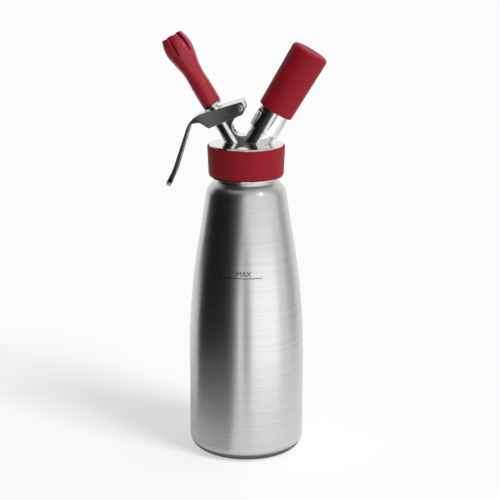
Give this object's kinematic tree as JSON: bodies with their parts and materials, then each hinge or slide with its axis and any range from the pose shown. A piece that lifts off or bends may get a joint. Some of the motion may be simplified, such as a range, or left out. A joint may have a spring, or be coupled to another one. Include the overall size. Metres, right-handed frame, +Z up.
{
  "type": "whipped cream dispenser",
  "caption": "Stainless whipping bottle with a screwed head, squeeze lever valve, tulip decorator tip and sleeved gas charger holder.",
  "frame": {"origin": "centre of the bottle's flat base ring, on the surface it stands on", "axes": "+Z up along the bottle's axis; +X to the side the charger holder leans to, -X to the side the decorator tip and the handle lean to; the lever works in the X-Z plane"},
  "size_m": [0.1316, 0.095, 0.3499],
  "materials": {
    "brushed_shell": "circumferentially brushed stainless steel",
    "gasket": "soft moulded silicone",
    "polished_casting": "polished stainless casting",
    "grip_rubber": "matt silicone band",
    "turned_steel": "turned bright steel",
    "oring": "black nitrile rubber",
    "spring_steel": "drawn spring wire",
    "satin_lever": "satin pressed stainless sheet",
    "pin_steel": "bright rivet steel",
    "tip_plastic": "glossy moulded plastic",
    "cartridge_steel": "zinc plated deep-drawn steel",
    "polished_cup": "chrome plated",
    "sleeve_rubber": "matt silicone sleeve"
  },
  "bodies": {
    "bottle": {"bottle": "brushed_shell"},
    "head_seal": {"head_gasket": "gasket"},
    "head": {"head": "polished_casting", "collar_grip": "grip_rubber", "lever_pin": "pin_steel", "valve_spring": "spring_steel", "port_stud": "turned_steel", "check_valve": "oring", "piercing_pin": "pin_steel", "port_gasket": "gasket"},
    "lever": {"lever": "satin_lever"},
    "valve": {"valve_stem": "turned_steel", "lower_stem_oring": "oring", "upper_stem_oring": "oring", "valve_seal": "oring", "valve_disc": "turned_steel", "valve_nut": "turned_steel", "thrust_collar": "turned_steel"},
    "tip_adapter": {"tip_adapter": "turned_steel"},
    "decorator_tip": {"decorator_tip": "tip_plastic"},
    "charger": {"charger": "cartridge_steel"},
    "charger_holder": {"holder_cup": "polished_cup", "holder_grip": "sleeve_rubber"}
  },
  "joints": [
    {"name": "head_lift", "type": "slide", "parent": "bottle", "child": "head_seal", "axis": [0, 0, 1], "range_m": [0, 0.05]},
    {"name": "head_turn", "type": "hinge", "parent": "head_seal", "child": "head", "pos_m": [0, 0, 0.25], "axis": [0, 0, 1], "continuous": true},
    {"name": "lever_squeeze", "type": "hinge", "parent": "head", "child": "lever", "pos_m": [-0.0041, 0, 0.2897], "axis": [0, -1, 0], "range_deg": [0, 14], "stiffness_Nm_per_rad": 0.52, "springref_deg": -26.04},
    {"name": "valve_travel", "type": "slide", "parent": "head", "child": "valve", "axis": [0.5128, 0, -0.8585], "range_m": [0, 0.00323], "deforming": ["valve_spring"]},
    {"name": "tip_off", "type": "slide", "parent": "valve", "child": "tip_adapter", "axis": [-0.5128, 0, 0.8585], "range_m": [0, 0.02]},
    {"name": "tip_turn", "type": "hinge", "parent": "tip_adapter", "child": "decorator_tip", "pos_m": [-0.03847, 0, 0.30951], "axis": [-0.5128, 0, 0.8585], "continuous": true},
    {"name": "charger_out", "type": "slide", "parent": "head", "child": "charger", "axis": [0.506, 0, 0.8625], "range_m": [0, 0.03]},
    {"name": "holder_turn", "type": "hinge", "parent": "charger", "child": "charger_holder", "pos_m": [0.0323, 0, 0.30113], "axis": [0.506, 0, 0.8625], "continuous": true}
  ],
  "couplings": [
    {"joint": "lever_squeeze", "follows": "valve_travel", "rad_per_m": 75.76}
  ]
}
